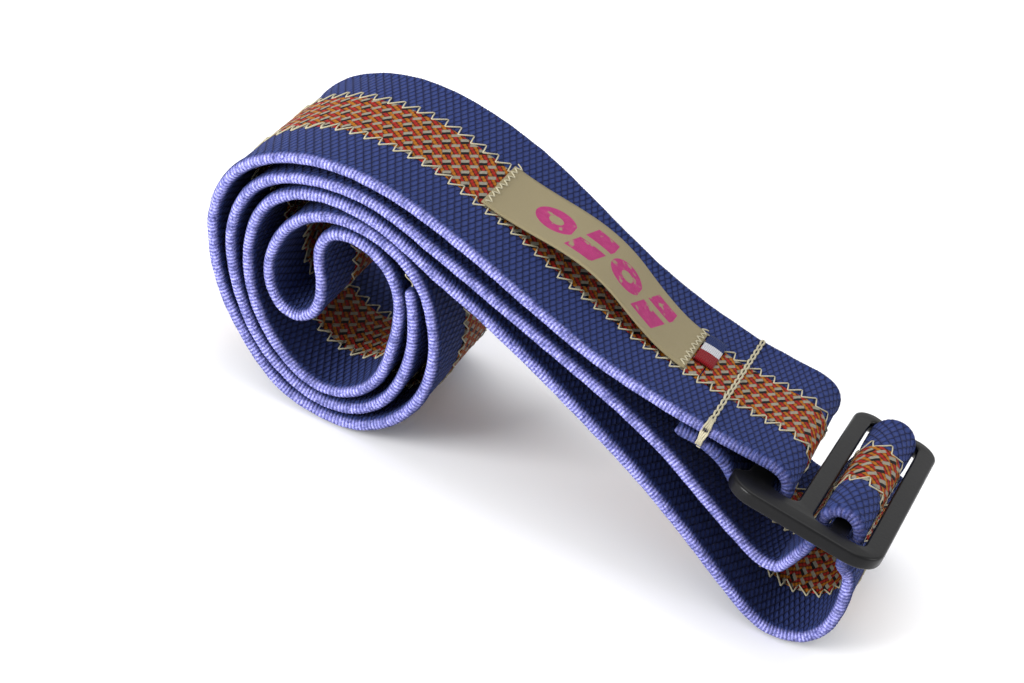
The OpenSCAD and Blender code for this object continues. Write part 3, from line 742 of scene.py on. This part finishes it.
for k in range(4):        # the thread wrapped over the near edge
    drift = 0.27 * (k - 1.5) + 0.12 * np.sin(np.arange(8) * 1.3 + k)
    tubes.append(tube(place(S_STITCH + drift, wrap_v, wrap_n), 0.0002, 6))
chain = join_tubes("closing_chain_stitch", tubes)
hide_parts("loop_stitch")
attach(chain, "belt")

# ---- Loose thread at the belt's free end ----
tip = at_arc(np.array([S_END - 0.6]))[0][0]
q = np.linspace(0, 1, 16)[:, None]
start = tip + np.array([-0.3, -17.2, 0.1])
path = start + q * np.array([-0.9, -0.6, 2.6]) + np.sin(q * 5) * np.array([0.35, 0.2, 0.1])
second = path + np.array([0.7, 1.2, -0.2]) + q * np.array([0.8, 0.3, -0.6])
loose = join_tubes("loose_thread", [tube((path + SHIFT) * MM, 0.00013, 6),
                                    tube((second + SHIFT) * MM, 0.00012, 6)])
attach(loose, "belt")


# ---- Buckle plate with softened edges ----
def arc2(u, v, r, a, turn=90, n=8):
    return [(u + r * math.cos(math.radians(a + turn * i / n)),
             v + r * math.sin(math.radians(a + turn * i / n))) for i in range(n + 1)]


def hole(u0, u1, v0, v1, r):
    return (arc2(u0 + r[0], v0 + r[0], r[0], 180) + arc2(u1 - r[1], v0 + r[1], r[1], 270)
            + arc2(u1 - r[2], v1 - r[2], r[2], 0) + arc2(u0 + r[3], v1 - r[3], r[3], 90))


waist = [(21.2 - 3.8 - t * 7.8, 38.2 - 0.5 * math.sin(math.pi * t)) for t in np.arange(0.1, 0.95, 0.1)]
outline = (arc2(0.6, -3.1, 4.6, 180) + arc2(16.2, -2.7, 5, 270) + arc2(17.4, 34.4, 3.8, 0) + waist
           + arc2(9.6, 35.0, 3.2, 90)
           + arc2(4.9, -1.1, 1.5, 0, -90) + arc2(3.5, -1.1, 1.5, 270, -90)
           + [(0.8, 40.3), (0.72, 40.75), (0.45, 41.15), (0.0, 41.4), (-0.45, 41.5), (-0.9, 41.4),
              (-1.35, 41.15), (-1.62, 40.75), (-1.7, 40.3)]
           + [(-2, -0.4), (-2.1, -1.2), (-2.4, -1.8), (-2.8, -2.25), (-3.3, -2.5)])
curve = bpy.data.curves.new("plate_outline", "CURVE")
curve.dimensions = "2D"
curve.fill_mode = "BOTH"
for ring in (outline, hole(9.4, 12.3, -4.2, 36.2, [1.4, 0.7, 0.7, 1.4]),
             hole(15.1, 18.0, -4.2, 36.2, [0.7, 1.4, 1.4, 0.7])):
    line = curve.splines.new("POLY")
    line.points.add(len(ring) - 1)
    for point, (u, v) in zip(line.points, ring):
        point.co = (u * MM, v * MM, 0, 1)
    line.use_cyclic_u = True
BEVEL = 0.45
curve.extrude = (1.1 - BEVEL) * MM
curve.bevel_depth = BEVEL * MM
curve.bevel_resolution = 4
curve.offset = -BEVEL * MM
plate_curve = bpy.data.objects.new("plate_curve", curve)
scene.collection.objects.link(plate_curve)
bpy.context.view_layer.update()
mesh = bpy.data.meshes.new_from_object(plate_curve.evaluated_get(bpy.context.evaluated_depsgraph_get()))
bpy.data.objects.remove(plate_curve)
bpy.data.curves.remove(curve)
bm = bmesh.new()
bm.from_mesh(mesh)
bmesh.ops.remove_doubles(bm, verts=bm.verts, dist=2e-6)
bmesh.ops.recalc_face_normals(bm, faces=bm.faces)
bm.to_mesh(mesh)
bm.free()
mesh.name = "buckle_plate"
mesh.transform(Matrix.Translation(row(ARM)) @ Matrix(TURN.tolist()).to_4x4())
mesh.materials.clear()
mesh.materials.append(MAT["plate"])
for poly in mesh.polygons:
    poly.use_smooth = True
plate = bpy.data.objects.new("buckle_plate", mesh)
scene.collection.objects.link(plate)
bpy.context.view_layer.objects.active = plate
plate.select_set(True)
bpy.ops.object.shade_auto_smooth(angle=math.radians(35))
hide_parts("hook_buckle")
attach(plate, "buckle")

# ---- Floor and light ----
bpy.ops.mesh.primitive_plane_add(size=3, location=(0, 0, -0.00035))
floor = bpy.context.object
floor.name = "floor"
paper = Nodes("white_paper", 0.9)
paper.colour((0.93, 0.93, 0.94, 1))
paper.bsdf.inputs["Specular IOR Level"].default_value = 0.1
floor.data.materials.append(paper.mat)

world = bpy.data.worlds.new("studio")
scene.world = world
world.use_nodes = True
world.node_tree.nodes["Background"].inputs[0].default_value = (1, 1, 1, 1)
world.node_tree.nodes["Background"].inputs[1].default_value = 0.8


def area_light(name, at, target, size, power):
    data = bpy.data.lights.new(name, "AREA")
    data.energy = power
    data.size = size
    obj = bpy.data.objects.new(name, data)
    scene.collection.objects.link(obj)
    obj.location = at
    obj.rotation_euler = (Vector(target) - Vector(at)).to_track_quat("-Z", "Y").to_euler()


area_light("key", (-0.34, -0.42, 0.2), (-0.02, 0, 0.02), 0.26, 4.6)
area_light("top", (0.0, 0.25, 0.8), (0, 0, 0.02), 0.6, 3.0)
area_light("rim", (0.6, 0.1, 0.3), (0.02, 0, 0.02), 0.3, 1.0)
scene.view_settings.view_transform = "Standard"
scene.view_settings.exposure = 0.0
